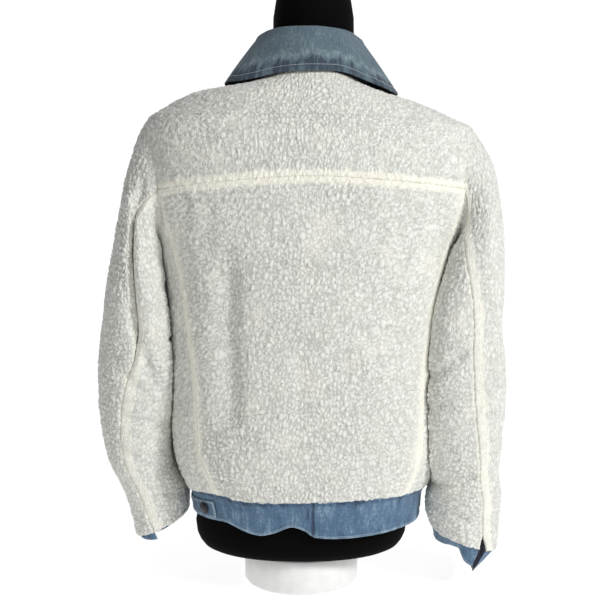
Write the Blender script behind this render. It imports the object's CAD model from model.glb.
import itertools
import math

import bpy
import numpy as np
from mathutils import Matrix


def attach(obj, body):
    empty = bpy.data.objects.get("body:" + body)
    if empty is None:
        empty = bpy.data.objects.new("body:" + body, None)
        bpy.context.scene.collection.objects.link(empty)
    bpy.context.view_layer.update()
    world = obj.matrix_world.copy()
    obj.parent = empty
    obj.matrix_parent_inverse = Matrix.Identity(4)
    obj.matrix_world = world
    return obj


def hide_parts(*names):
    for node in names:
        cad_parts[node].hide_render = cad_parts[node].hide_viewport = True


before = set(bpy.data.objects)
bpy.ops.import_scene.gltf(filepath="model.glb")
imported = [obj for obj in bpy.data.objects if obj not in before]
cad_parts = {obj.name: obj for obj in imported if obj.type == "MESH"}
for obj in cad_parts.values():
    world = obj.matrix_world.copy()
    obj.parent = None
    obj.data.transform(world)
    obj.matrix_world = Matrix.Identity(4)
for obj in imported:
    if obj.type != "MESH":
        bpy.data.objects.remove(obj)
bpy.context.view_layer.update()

scene = bpy.context.scene


class Rows:
    # rows with named columns, read between the rows along curves that don't overshoot;
    # columns left off a row's end repeat its first value
    def __init__(self, names, rows):
        self.names = names.split()
        full = [(*row, *row[:1] * (len(self.names) - len(row))) for row in rows]
        self.values = dict(zip(self.names, np.array(full, float).T))
        self.spots = self.values[self.names[0]]
        self.slopes = {name: self.slopesOf(column) for name, column in self.values.items()}

    def slopesOf(self, column):
        rates = np.diff(column) / np.diff(self.spots)
        slopes = np.zeros(len(column))
        before, after = rates[:-1], rates[1:]
        same = before * after > 0
        total = np.where(same, before + after, 1.0)
        slopes[1:-1] = np.where(same, 2 * before * after / total, 0.0)
        slopes[0], slopes[-1] = rates[0], rates[-1]
        return slopes

    def at(self, name, where):
        where = np.clip(where, self.spots[0], self.spots[-1])
        i = np.clip(np.searchsorted(self.spots, where) - 1, 0, len(self.spots) - 2)
        width = self.spots[i + 1] - self.spots[i]
        t = (where - self.spots[i]) / width
        column, slopes = self.values[name], self.slopes[name]
        return (
            (2 * t**3 - 3 * t**2 + 1) * column[i]
            + (t**3 - 2 * t**2 + t) * width * slopes[i]
            + (3 * t**2 - 2 * t**3) * column[i + 1]
            + (t**3 - t**2) * width * slopes[i + 1]
        )

    def allAt(self, where):
        return {name: self.at(name, where) for name in self.names}


def smoothStep(low, high, value):
    t = np.clip((value - low) / (high - low), 0.0, 1.0)
    return t * t * (3 - 2 * t)


def between(rise, fall, value):
    return smoothStep(*rise, value) * smoothStep(*fall, value)


def hump(distance, middle, width):
    return np.exp(-(((distance - middle) / width) ** 2))


def unitOf(vectors):
    return vectors / np.maximum(np.linalg.norm(vectors, axis=-1, keepdims=True), 1e-12)


def stacked(*columns):
    return np.stack(np.broadcast_arrays(*columns), axis=-1)


def roundedBox(x, y, power):
    # how far out a rounded rectangle lies, as a share of the way from its centre to (x, y)
    return (np.abs(x) ** power + np.abs(y) ** power) ** (-1 / power)


hands = {-1: "left", 1: "right"}  # the wearer's, by the sign of x


randomTable = np.random.default_rng(41).random((4096, 4))


def randomOf(cells, seed=0):
    # four random numbers for each cell of a grid that fills space
    x, y, z = (cells[..., i].astype(np.int64) for i in range(3))
    mixed = x * 73856093 ^ y * 19349663 ^ z * 83492791 ^ seed * 2654435761
    return randomTable[mixed & 4095]


def drift(points, size, seed=0):
    # smooth noise from -1 to 1, about size across
    spot = points / size
    corner = np.floor(spot).astype(int)
    t = spot - corner
    t = t * t * (3 - 2 * t)
    total = np.zeros(points.shape[:-1])
    for step in itertools.product((0, 1), repeat=3):
        share = np.prod(np.where(np.array(step), t, 1 - t), axis=-1)
        total += share * randomOf(corner + np.array(step), seed)[..., 0]
    return total * 2 - 1


fleeceCut = {
    "thick": 0.0055, "spare": 0.0004, "innerStep": 4, "liningPile": 0.3,
    # a tuft's size, how far its middle strays, how its edge and its height vary
    "nub": (0.0050, 0.0050, 0.0070), "scatter": (0.1, 0.8), "sharpness": 2.0, "weakest": 0.72,
    "warps": ((0.020, 0.9), (0.0075, 0.30)),  # size, share
    "pile": 0.0027, "tip": 0.0004,  # below and above the solid's face
    "lull": (0.35, 0.045), "ragged": (0.22, 0.006),  # share, size
    "overhang": (0.0028, 0.0050, 0.0036),  # furthest, reach up, size
    "brushedEdge": (1.5, 0.6),
    # where the pile is brushed flat: x, z, reach across, reach up, share; all on the back
    "brushed": (
        (-0.211, 0.442, 0.015, 0.05, 0.8),
        (-0.23, 0.199, 0.022, 0.065, 0.55),
        (0.151, 0.437, 0.014, 0.075, 0.7),
        (-0.186, 0.476, 0.011, 0.035, 0.6),
        (-0.203, 0.56, 0.014, 0.03, 0.4),
        (0.233, 0.5, 0.01, 0.055, 0.45),
    ),
}


bodyCut = {
    "rings": Rows("level left right back front square zLeft zRight zBack zFront", (
        (0.078, 0.1655, 0.156, 0.1195, 0.115, 2.3),
        (0.113, 0.167, 0.157, 0.1205, 0.116, 2.3),
        (0.128, 0.17, 0.159, 0.122, 0.1175, 2.3),
        (0.143, 0.177, 0.165, 0.1255, 0.1205, 2.35),
        (0.163, 0.186, 0.173, 0.129, 0.123, 2.4),
        (0.188, 0.192, 0.1785, 0.131, 0.1245, 2.45),
        (0.233, 0.195, 0.1805, 0.132, 0.1255, 2.45),
        (0.288, 0.1955, 0.1815, 0.1325, 0.126, 2.45),
        (0.348, 0.197, 0.1835, 0.133, 0.127, 2.45),
        (0.408, 0.2, 0.187, 0.132, 0.128, 2.45),
        (0.463, 0.2065, 0.196, 0.129, 0.128, 2.5),
        (0.508, 0.218, 0.213, 0.126, 0.126, 2.6),
        (0.548, 0.2265, 0.2245, 0.123, 0.122, 2.6),
        (0.588, 0.229, 0.227, 0.119, 0.117, 2.6, 0.591, 0.586, 0.588, 0.585),
        (0.618, 0.228, 0.2245, 0.114, 0.1115, 2.6, 0.626, 0.614, 0.618, 0.611),
        (0.633, 0.222, 0.219, 0.1095, 0.107, 2.55, 0.642, 0.6285, 0.633, 0.623),
        (0.653, 0.2027, 0.1927, 0.103, 0.1, 2.45, 0.6556, 0.6421, 0.65, 0.634),
        (0.668, 0.1806, 0.1652, 0.0975, 0.0945, 2.4, 0.6685, 0.6545, 0.664, 0.643),
        (0.683, 0.15, 0.1377, 0.091, 0.089, 2.3, 0.68, 0.6645, 0.678, 0.652),
        (0.693, 0.115, 0.108, 0.084, 0.0835, 2.2, 0.685, 0.671, 0.69, 0.66),
        (0.703, 0.08, 0.078, 0.075, 0.078, 2.1, 0.6915, 0.68, 0.702, 0.667),
        (0.71, 0.074, 0.072, 0.072, 0.074, 2.1, 0.699, 0.688, 0.709, 0.674),
    )),
    "hem": Rows("angle level bandLow", (
        (-180, 0.14, 0.094),
        (-120, 0.137, 0.096),
        (-90, 0.1346, 0.1005),
        (-79, 0.136, 0.1016),
        (-52, 0.1455, 0.106),
        (-40, 0.1395, 0.0971),
        (-32, 0.14, 0.0936),
        (-24, 0.1405, 0.0975),
        (-12, 0.1415, 0.1071),
        (-5, 0.142, 0.1026),
        (2, 0.1423, 0.0932),
        (17, 0.143, 0.0911),
        (38, 0.1438, 0.0926),
        (58, 0.1435, 0.0953),
        (90, 0.1435, 0.095),
        (120, 0.142, 0.094),
        (180, 0.14, 0.094),
    )),
    "princess": Rows("level left right", (
        (0.128, 0.124, 0.122),
        (0.147, 0.1277, 0.126),
        (0.161, 0.133, 0.132),
        (0.185, 0.1423, 0.141),
        (0.209, 0.151, 0.144),
        (0.273, 0.1525, 0.146),
        (0.318, 0.156, 0.149),
        (0.377, 0.164, 0.158),
        (0.432, 0.1722, 0.169),
        (0.469, 0.1808, 0.18),
        (0.496, 0.1895, 0.189),
        (0.5465, 0.2018, 0.2018),
    )),
    # levels
    "underarm": 0.463, "yokeEnd": 0.5465, "shoulder": 0.636, "neck": 0.703,
    "yokeRise": 0.0165, "yokeBow": 0.8, "armholeHalfAngle": 20.0,
    "princessFoot": (0.1265, 0.143), "foldRadius": 0.155,
    # from (angle, level) to (angle, level), width, depth
    "folds": (
        (-43.7, 0.435, -42.6, 0.265, 0.016, 0.006),
        (-6.5, 0.345, -6, 0.275, 0.016, 0.0025),
        (-11, 0.217, 48, 0.238, 0.015, 0.003),
        (7, 0.4767, 42, 0.3933, 0.018, 0.0022),
        (118, 0.47, 150, 0.41, 0.018, 0.0035),
        (-116, 0.48, -146, 0.425, 0.017, 0.003),
        (143, 0.3, 137, 0.19, 0.016, 0.0035),
        (-139, 0.33, -143, 0.21, 0.017, 0.004),
    ),
    "creases": (
        (-43.2, 0.46, -42.4, 0.25, 0.014, 0.0035),
        (-60, 0.533, -59, 0.502, 0.008, 0.002),
        (-51, 0.528, -50.5, 0.47, 0.009, 0.0018),
        (22, 0.596, 53, 0.643, 0.011, 0.0022),
        (-5.6, 0.168, 18.4, 0.174, 0.009, 0.0018),
        (-58, 0.225, -20, 0.204, 0.012, 0.0016),
        (-30, 0.64, -55, 0.62, 0.012, 0.0018),
        (52, 0.52, 47, 0.47, 0.01, 0.0014),
        (105, 0.62, 122, 0.57, 0.011, 0.0022),
        (-103, 0.615, -124, 0.56, 0.012, 0.002),
        (160, 0.24, 128, 0.22, 0.012, 0.002),
        (-158, 0.205, -126, 0.235, 0.012, 0.0018),
        (112, 0.39, 128, 0.33, 0.012, 0.0018),
        (-110, 0.4, -131, 0.36, 0.012, 0.002),
    ),
}


def troughs(folds, around, along, radius, length):
    # how far the cloth is drawn in by soft folds
    depth = np.zeros(np.broadcast(around, along).shape)
    for aroundFrom, alongFrom, aroundTo, alongTo, width, sink in folds:
        run = math.radians(aroundTo - aroundFrom) * radius
        drop = (alongTo - alongFrom) * length
        away = (around - aroundFrom + 180.0) % 360.0 - 180.0
        u = np.radians(away) * radius
        v = (along - alongFrom) * length
        nearest = np.clip((u * run + v * drop) / (run**2 + drop**2), 0.0, 1.0)
        distance = np.hypot(u - nearest * run, v - nearest * drop)
        depth = np.maximum(depth, sink * np.exp(-((distance / width) ** 2)))
    return depth


def bodyPoint(angle, level):
    # angle runs from the centre back through the wearer's right side; level climbs from the hem
    turn = np.radians(angle)
    side, fore = np.sin(turn), -np.cos(turn)
    ring = bodyCut["rings"].allAt(level)
    across = np.where(side < 0, ring["left"], ring["right"])
    deep = np.where(fore < 0, ring["back"], ring["front"])
    reach = roundedBox(side / across, fore / deep, ring["square"])
    for folds in (bodyCut["folds"], bodyCut["creases"]):
        reach = reach - troughs(folds, angle, level, bodyCut["foldRadius"], 1.0)
    zSide = np.where(side < 0, ring["zLeft"], ring["zRight"])
    zMiddle = (ring["zLeft"] + ring["zRight"]) / 2
    zSide = zMiddle + (zSide - zMiddle) * np.abs(side)
    zFore = np.where(fore < 0, ring["zBack"], ring["zFront"])
    return stacked(reach * side, reach * fore, zSide + (zFore - zSide) * fore**2)


def bodyOut(angle, level):
    roundIt = bodyPoint(angle + 0.5, level) - bodyPoint(angle - 0.5, level)
    upIt = bodyPoint(angle, level + 0.0015) - bodyPoint(angle, level - 0.0015)
    return unitOf(np.cross(roundIt, upIt))


def angleAt(x, level, side):
    rings = bodyCut["rings"]
    across = rings.at(hands[side], level)
    deep, power = rings.at("back", level), rings.at("square", level)
    y = deep * (1 - np.minimum(x / across, 0.999) ** power) ** (1 / power)
    return side * np.degrees(np.arctan2(x, y))


def armholeLine(side, turn):
    around = np.radians(turn)
    up = np.cos(around)
    top, end, under = bodyCut["shoulder"], bodyCut["yokeEnd"], bodyCut["underarm"]
    level = end + np.where(up > 0, top - end, end - under) * up
    angle = side * (90.0 - bodyCut["armholeHalfAngle"] * np.sin(around))
    return stacked(angle, level)


def straightLine(start, end, count):
    share = np.linspace(0, 1, count + 1)[:, None]
    return np.array(start) * (1 - share) + np.array(end) * share


def hemLine(start, end, count):
    angles = np.linspace(start, end, count + 1)
    return stacked(angles, bodyCut["hem"].at("level", angles))


def yokeLine(count):
    edge = 90.0 - bodyCut["armholeHalfAngle"]
    angles = np.linspace(-edge, edge, count + 1)
    rise = np.cos(np.radians(90 * angles / edge)) ** bodyCut["yokeBow"]
    return stacked(angles, bodyCut["yokeEnd"] + bodyCut["yokeRise"] * rise)


def princessLine(side, count):
    top = bodyCut["yokeEnd"]
    x, level = bodyCut["princessFoot"]
    foot = float(bodyCut["hem"].at("level", float(angleAt(x, level, side))))
    levels = np.linspace(foot, top, count + 1)
    column = bodyCut["princess"].at(hands[side], levels)
    angles = angleAt(column, levels, side)
    angles[-1] = side * (90.0 - bodyCut["armholeHalfAngle"])
    return stacked(angles, levels)


def sideLine(side, count):
    foot = float(bodyCut["hem"].at("level", side * 90.0))
    return straightLine((side * 90.0, foot), (side * 90.0, bodyCut["underarm"]), count)


def shoulderLine(side, count):
    return straightLine((side * 90.0, bodyCut["shoulder"]), (side * 90.0, bodyCut["neck"]), count)


def joined(*parts):
    return np.concatenate([parts[0], *[part[1:] for part in parts[1:]]])


def filled(bottom, top, left, right):
    # the grid inside four border lines
    u = np.linspace(0, 1, len(bottom))[None, :, None]
    v = np.linspace(0, 1, len(left))[:, None, None]
    across = left[:, None] * (1 - u) + right[:, None] * u
    upward = bottom[None] * (1 - v) + top[None] * v
    low = bottom[0] * (1 - u) + bottom[-1] * u
    high = top[0] * (1 - u) + top[-1] * u
    return across + upward - low * (1 - v) - high * v


sleeveCut = {
    "left": {
        "rings": Rows("row outX outZ inX inZ midY depth", (
            (0, 0.2235, 0.6415, 0.2075, 0.463, 0, 0.072),
            (0.04, 0.2345, 0.6225, 0.212, 0.454, 0, 0.073),
            (0.09, 0.244, 0.595, 0.213, 0.441, 0, 0.075),
            (0.15, 0.252, 0.564, 0.208, 0.424, -0.006, 0.076),
            (0.22, 0.2595, 0.523, 0.204, 0.403, -0.011, 0.076),
            (0.29, 0.268, 0.48, 0.2, 0.38, -0.014, 0.075),
            (0.36, 0.2765, 0.436, 0.197, 0.353, -0.015, 0.074),
            (0.43, 0.284, 0.391, 0.195, 0.323, -0.015, 0.073),
            (0.5, 0.2895, 0.348, 0.194, 0.293, -0.013, 0.071),
            (0.57, 0.2945, 0.303, 0.193, 0.26, -0.01, 0.07),
            (0.64, 0.2955, 0.26, 0.193, 0.226, -0.006, 0.068),
            (0.71, 0.2925, 0.218, 0.193, 0.193, -0.002, 0.066),
            (0.78, 0.285, 0.175, 0.19, 0.166, 0.003, 0.064),
            (0.85, 0.269, 0.138, 0.179, 0.144, 0.005, 0.062),
            (0.92, 0.257, 0.103, 0.173, 0.121, 0.007, 0.06),
            (1, 0.249, 0.0635, 0.1735, 0.096, 0.01, 0.058),
        )),
        # from (turn, along) to (turn, along), width, depth
        "folds": (
            (74, 0.07, 80, 0.15, 0.009, 0.005),
            (80, 0.15, 86, 0.26, 0.01, 0.0065),
            (86, 0.26, 103, 0.43, 0.011, 0.007),
            (103, 0.43, 124, 0.55, 0.01, 0.005),
            (152, 0.2, 172, 0.4, 0.012, 0.006),
            (84, 0.645, 150, 0.64, 0.009, 0.0035),
        ),
        "creases": (
            (60, 0.3, 96, 0.4, 0.008, 0.0022),
            (150, 0.385, 172, 0.4, 0.006, 0.008),
            (70, 0.52, 118, 0.58, 0.009, 0.0024),
            (64, 0.72, 120, 0.78, 0.009, 0.0026),
            (100, 0.86, 150, 0.9, 0.008, 0.0022),
            (-20, 0.35, 30, 0.47, 0.01, 0.0022),
            (-60, 0.55, 10, 0.62, 0.01, 0.0026),
            (-110, 0.3, -50, 0.42, 0.011, 0.003),
            (-120, 0.62, -60, 0.7, 0.01, 0.0028),
            (-60, 0.82, 20, 0.87, 0.009, 0.0024),
        ),
        "lap": 0.016, "lapEnds": (0.74, 0.52), "fullness": 0.003, "ridge": 0.0065,
    },
    "right": {
        "rings": Rows("row outX outZ inX inZ midY depth", (
            (0, 0.2215, 0.6315, 0.195, 0.463, 0, 0.072),
            (0.04, 0.236, 0.608, 0.1985, 0.454, -0.004, 0.073),
            (0.09, 0.247, 0.581, 0.195, 0.441, -0.01, 0.075),
            (0.15, 0.2525, 0.546, 0.188, 0.423, -0.018, 0.076),
            (0.22, 0.2575, 0.5056, 0.179, 0.4, -0.026, 0.075),
            (0.29, 0.2592, 0.4641, 0.1725, 0.375, -0.033, 0.073),
            (0.36, 0.2588, 0.414, 0.169, 0.344, -0.038, 0.071),
            (0.43, 0.2568, 0.3664, 0.166, 0.313, -0.04, 0.07),
            (0.5, 0.2618, 0.3242, 0.165, 0.281, -0.04, 0.069),
            (0.57, 0.2641, 0.2816, 0.164, 0.248, -0.039, 0.068),
            (0.64, 0.2635, 0.2389, 0.164, 0.215, -0.037, 0.067),
            (0.71, 0.261, 0.2, 0.164, 0.183, -0.034, 0.066),
            (0.78, 0.258, 0.166, 0.162, 0.157, -0.03, 0.065),
            (0.85, 0.2637, 0.133, 0.159, 0.133, -0.025, 0.063),
            (0.92, 0.2634, 0.0944, 0.1595, 0.106, -0.018, 0.062),
            (1, 0.2615, 0.051, 0.168, 0.078, -0.012, 0.06),
        )),
        "folds": (
            (182, 0.5, 112, 0.43, 0.01, 0.006),
            (172, 0.82, 92, 0.77, 0.011, 0.006),
            (176, 0.57, 128, 0.55, 0.009, 0.0035),
        ),
        "creases": (
            (168, 0.63, 122, 0.62, 0.007, 0.0018),
            (170, 0.68, 118, 0.675, 0.007, 0.0018),
            (150, 0.88, 96, 0.91, 0.009, 0.0024),
            (78, 0.35, 30, 0.42, 0.01, 0.002),
            (70, 0.62, 10, 0.68, 0.01, 0.0022),
            (-10, 0.4, -60, 0.33, 0.011, 0.0028),
            (-20, 0.6, -80, 0.55, 0.011, 0.003),
            (0, 0.82, -70, 0.77, 0.01, 0.0028),
            (-100, 0.45, -130, 0.4, 0.01, 0.0026),
        ),
        "lap": 0.022, "lapEnds": (0.80, 0.68), "fullness": 0.010, "ridge": 0.0,
    },
    # where the cloth laps the jacket's side, is full and stands in a ridge: turns and ends
    "lapTurns": (148.0, 36.0), "lapStart": (0.0, 0.07),
    "fullTurns": (128.0, 26.0), "fullEnds": ((0.01, 0.10), (0.70, 0.45)),
    "ridgeTurns": ((0.0, 7.0), (75.0, 30.0)), "ridgeEnds": ((0.03, 0.10), (0.56, 0.44)),
    "seams": Rows("along left right", (
        (0, 90, 90),
        (0.04, 87, 108),
        (0.08, 83, 115.5),
        (0.12, 81, 114.5),
        (0.18, 82, 110),
        (0.25, 85.5, 102.5),
        (0.33, 94, 95),
        (0.42, 101, 91),
        (0.48, 97.5, 90.5),
        (0.54, 89, 90),
        (0.62, 80, 85.5),
        (0.75, 73, 75),
        (0.9, 73, 68),
        (1, 82, 65.5),
    )),
    "underSeam": 225.0, "seamOpens": (0.95, 1.0), "square": 2.25, "radius": 0.062, "length": 0.60,
    "headBlend": 0.16, "foldsStart": 0.06,
    # how the sleeve keeps off the jacket's side
    "clearance": 0.0008, "softness": 0.0012, "pushStart": 0.015,
    "weltRoom": 0.0035, "weltTop": (0.32, 0.28), "weltSide": (80.0, 88.0), "pushTop": (0.515, 0.460),
}


def ringPoint(ring, turn):
    # turn is 0 on the sleeve's outer line, 90 at the back, 180 inside
    around = np.radians(turn)
    outward, back = np.cos(around), np.sin(around)
    reach = roundedBox(outward, back, sleeveCut["square"])
    outward, back = outward * reach, back * reach
    x = (ring["outX"] + ring["inX"]) / 2 + outward * (ring["outX"] - ring["inX"]) / 2
    z = (ring["outZ"] + ring["inZ"]) / 2 + outward * (ring["outZ"] - ring["inZ"]) / 2
    return x, ring["midY"] - back * ring["depth"], z


def keptOff(side, x, y, z, strength):
    # moves a sleeve's cloth out of the jacket's side, and a little clear of it
    angle = side * np.degrees(np.arctan2(x, -y))
    cloth = bodyPoint(angle, z)
    cut = sleeveCut
    besideWelt = smoothStep(*cut["weltSide"], np.abs(angle)) * smoothStep(*cut["weltTop"], z)
    room = cut["clearance"] + cut["weltRoom"] * besideWelt
    reach = np.hypot(cloth[..., 0], cloth[..., 1]) + room * strength
    now = np.hypot(x, y)
    soft = cut["softness"]
    push = soft * np.logaddexp(0.0, (reach - now) / soft) * strength
    push = push * smoothStep(*cut["pushTop"], z)
    return x * (1 + push / now), y * (1 + push / now)


def sleevePoint(side, turn, along):
    # along is 0 at the armhole and 1 at the cuff
    word = hands[side]
    cut = sleeveCut[word]
    ring = cut["rings"].allAt(along)
    x, y, z = ringPoint(ring, turn)
    middle = (ring["outX"] + ring["inX"]) / 2
    headX, headY, headZ = ringPoint(cut["rings"].allAt(0.0), turn)
    seam = armholeLine(side, turn)
    hole = bodyPoint(seam[..., 0], seam[..., 1])
    near = 1 - smoothStep(0.0, sleeveCut["headBlend"], along)
    x = x + (side * hole[..., 0] - headX) * near
    y = y + (hole[..., 1] - headY) * near
    z = z + (hole[..., 2] - headZ) * near
    turns = turn % 360.0
    lap = between(sleeveCut["lapStart"], cut["lapEnds"], along)
    x = x - cut["lap"] * hump(turns, *sleeveCut["lapTurns"]) * lap
    full = between(*sleeveCut["fullEnds"], along)
    y = y - cut["fullness"] * hump(turns, *sleeveCut["fullTurns"]) * full
    past = turns - sleeveCut["seams"].at(word, along)
    ridge = between(*sleeveCut["ridgeTurns"], past) * between(*sleeveCut["ridgeEnds"], along)
    y = y - cut["ridge"] * ridge
    radius, length = sleeveCut["radius"], sleeveCut["length"]
    sunk = troughs(cut["folds"], turn, along, radius, length)
    sunk = sunk + troughs(cut["creases"], turn, along, radius, length)
    sunk = sunk * smoothStep(0.0, sleeveCut["foldsStart"], along)
    inwardX, inwardY = middle - x, ring["midY"] - y
    span = np.hypot(inwardX, inwardY)
    x, y = x + inwardX / span * sunk, y + inwardY / span * sunk
    x, y = keptOff(side, x, y, z, smoothStep(0.0, sleeveCut["pushStart"], along))
    return stacked(side * x, y, z)


def sleeveOut(side, turn, along):
    roundIt = sleevePoint(side, turn + 1.0, along) - sleevePoint(side, turn - 1.0, along)
    low, high = np.clip(along - 0.006, 0.0, 1.0), np.clip(along + 0.006, 0.004, 1.0)
    downIt = sleevePoint(side, turn, high) - sleevePoint(side, turn, low)
    return side * unitOf(np.cross(roundIt, downIt))


cuffCut = {
    "left": {
        "outX": 0.2455, "inX": 0.1765, "midY": 0.014, "depth": 0.0545,
        "slit": 82.0, "opening": 2.4, "underlap": 0.0,
        "innerLean": 7.0, "outerLean": 7.0, "slitFoot": 90.0,
    },
    "right": {
        "outX": 0.2520, "inX": 0.1770, "midY": 0.004, "depth": 0.0620,
        "slit": 65.5, "opening": 14.0, "underlap": 31.0,
        "innerLean": 8.5, "outerLean": 20.5, "slitFoot": 81.0,
    },
    "leanSpread": 50.0,
    "inset": 0.0035, "gap": 0.0008, "runFrom": 0.985,
    "underlapBend": 5.0, "underlapSlant": 0.75, "underlapDepth": 0.0036, "underlapClimb": 0.045,
    # how far each cuff hangs below its sleeve, round from the slit's inner edge
    "drops": Rows("round left right", (
        (0, 0.004, 0.03),
        (17, 0.0035, 0.026),
        (30, 0.003, 0.011),
        (45, 0.003, 0.013),
        (60, 0.0035, 0.0182),
        (90, 0.0065, 0.0235),
        (130, 0.012, 0.025),
        (190, 0.015, 0.025),
        (240, 0.009, 0.019),
        (275, 0.003, 0.012),
        (305, 0.003, 0.0105),
        (320, 0.0065, 0.0125),
        (343, 0.0115, 0.0245),
        (360, 0.014, 0.038),
    )),
}


def cuffPoint(side, turn, drop):
    # drop is 0 at the sleeve's end and 1 at the cuff's open edge
    word = hands[side]
    shape = cuffCut[word]
    end = 1.0 + np.minimum(drop, 0.0) * cuffCut["underlapClimb"]
    top = sleevePoint(side, turn, end)
    run = unitOf(top - sleevePoint(side, turn, end * cuffCut["runFrom"]))
    top = top - sleeveOut(side, turn, end) * cuffCut["inset"] + run * cuffCut["gap"]
    away = turn - shape["slit"]
    lowTurn = turn + shape["innerLean"] * hump(away, 0.0, cuffCut["leanSpread"])
    lowTurn = lowTurn + shape["outerLean"] * hump(away, 360.0, cuffCut["leanSpread"])
    x, y, _ = ringPoint({**shape, "outZ": 0.0, "inZ": 0.0}, lowTurn)
    z = sleevePoint(side, lowTurn, 1.0 + 0.0 * lowTurn)[..., 2]
    z = z - cuffCut["drops"].at(word, lowTurn - shape["slitFoot"])
    drop = np.maximum(drop, 0.0)[..., None]
    return top * (1 - drop) + stacked(side * x, y, z) * drop


collarCut = {
    "rows": Rows("angle foldOut foldZ edgeOut edgeZ", (
        (-177, 0.077, 0.694, 0.11, 0.64),
        (-150, 0.074, 0.71, 0.115, 0.657),
        (-120, 0.072, 0.731, 0.119, 0.681),
        (-90, 0.071, 0.745, 0.1175, 0.689),
        (-74, 0.0715, 0.75, 0.1165, 0.69),
        (-62, 0.0716, 0.752, 0.111, 0.6885),
        (-50, 0.0713, 0.754, 0.0995, 0.6905),
        (-40, 0.071, 0.755, 0.09, 0.694),
        (-30, 0.07, 0.756, 0.0855, 0.6965),
        (-19, 0.069, 0.756, 0.083, 0.6977),
        (0, 0.0675, 0.756, 0.082, 0.6986),
        (19, 0.0672, 0.755, 0.0822, 0.6986),
        (30, 0.0674, 0.754, 0.0845, 0.697),
        (40, 0.0674, 0.753, 0.0895, 0.6925),
        (50, 0.0672, 0.751, 0.0985, 0.686),
        (62, 0.067, 0.748, 0.111, 0.6785),
        (76, 0.0668, 0.746, 0.1175, 0.674),
        (90, 0.0675, 0.742, 0.117, 0.6745),
        (120, 0.07, 0.728, 0.118, 0.668),
        (150, 0.0735, 0.708, 0.115, 0.651),
        (177, 0.077, 0.692, 0.11, 0.638),
    )),
    "endAngle": 177.0, "wall": 0.0026, "seat": 0.0022, "foldRadius": 0.0042, "bulge": 0.0010,
    "stitchIn": 0.0088, "foldStart": 0.4, "foldEnd": 0.6,
}


def collarProfile(angle, share):
    # (distance from the neck's axis, height), from the neck seam over the fold to the leaf's edge
    cut = collarCut
    level = np.full(np.shape(angle), bodyCut["neck"])
    base = bodyPoint(angle, level) - bodyOut(angle, level) * fleeceCut["thick"] / 2
    start = stacked(np.hypot(base[..., 0], base[..., 1]), base[..., 2] + cut["seat"])
    row = cut["rows"].allAt(angle)
    bend = cut["foldRadius"]
    edge = stacked(row["edgeOut"], row["edgeZ"])
    fold = stacked(row["foldOut"], row["foldZ"] - bend)
    innerEnd, outerEnd = fold - [bend, 0.0], fold + [bend, 0.0]
    share = np.asarray(share)[..., None]
    rise = np.clip(share / cut["foldStart"], 0, 1)
    turn = np.pi * np.clip((share - cut["foldStart"]) / (cut["foldEnd"] - cut["foldStart"]), 0, 1)
    fall = np.clip((share - cut["foldEnd"]) / (1 - cut["foldEnd"]), 0, 1)
    stand = start * (1 - rise) + innerEnd * rise
    over = fold + bend * np.concatenate([-np.cos(turn), np.sin(turn)], axis=-1)
    along = edge - outerEnd
    bulge = unitOf(stacked(-along[..., 1], along[..., 0])) * cut["bulge"]
    leaf = outerEnd * (1 - fall) + edge * fall + bulge * np.sin(np.pi * fall)
    return np.where(share < cut["foldStart"], stand, np.where(share < cut["foldEnd"], over, leaf))


def collarPoint(angle, share):
    there = collarProfile(angle, share)
    turn = np.radians(angle)
    return stacked(there[..., 0] * np.sin(turn), -there[..., 0] * np.cos(turn), there[..., 1])


bandCut = {
    "inset": 0.0030, "uprightLevel": 0.123, "wall": 0.0022, "laidOn": 0.0005, "gap": 0.0002,
    # angle, lowest share, width, depth
    "puckers": (
        (-41.5, 0.65, 1.1, 0.0012), (-2.6, 0.35, 0.8, 0.001), (0.6, 0, 1, 0.0018),
        (26, 0.75, 0.9, 0.0008), (52, 0.7, 1, 0.0009), (118, 0.6, 1, 0.001),
        (-121, 0.65, 1, 0.001), (-152, 0.7, 1, 0.0008),
    ),
}


def bandPoint(angle, share, lift=0.0):
    # share is 0 at the waistband's lower edge and 1 at the fleece's edge
    hem = bodyCut["hem"]
    low, high = hem.at("bandLow", angle), hem.at("level", angle) - bandCut["gap"]
    level = low * (1 - share) + high * share
    outward = bodyOut(angle, np.minimum(level, bandCut["uprightLevel"]))
    return bodyPoint(angle, level) + outward * np.asarray(lift - bandCut["inset"])[..., None]


def makeMesh(name, verts, quads, others=()):
    sizes = np.array([4] * len(quads) + [len(face) for face in others], np.int32)
    corners = np.concatenate([np.asarray(quads, np.int32).ravel(), *map(np.array, others)])
    mesh = bpy.data.meshes.new(name)
    mesh.vertices.add(len(verts))
    mesh.vertices.foreach_set("co", np.asarray(verts, np.float32).ravel())
    mesh.loops.add(len(corners))
    mesh.loops.foreach_set("vertex_index", corners.astype(np.int32))
    mesh.polygons.add(len(sizes))
    mesh.polygons.foreach_set("loop_start", np.cumsum(sizes) - sizes)
    mesh.update(calc_edges=True)
    mesh.validate()
    mesh.shade_smooth()
    return mesh


def addValues(mesh, name, values, kind="FLOAT", field="value"):
    layer = mesh.attributes.new(name, kind, "POINT")
    layer.data.foreach_set(field, np.asarray(values, np.float32).ravel())


def placed(name, mesh, *materials):
    for material in materials:
        mesh.materials.append(material)
    made = bpy.data.objects.new(name, mesh)
    scene.collection.objects.link(made)
    return made


def outOf(points):
    # outward directions of a grid whose columns run right and rows run up, seen from outside
    return unitOf(np.cross(np.gradient(points, axis=1), np.gradient(points, axis=0)))


def gridFaces(rows, columns, start=0, flipped=False):
    r, c = np.meshgrid(np.arange(rows - 1), np.arange(columns - 1), indexing="ij")
    first = (start + r * columns + c).ravel()
    faces = stacked(first, first + 1, first + columns + 1, first + columns)
    return faces[:, ::-1] if flipped else faces


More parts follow.
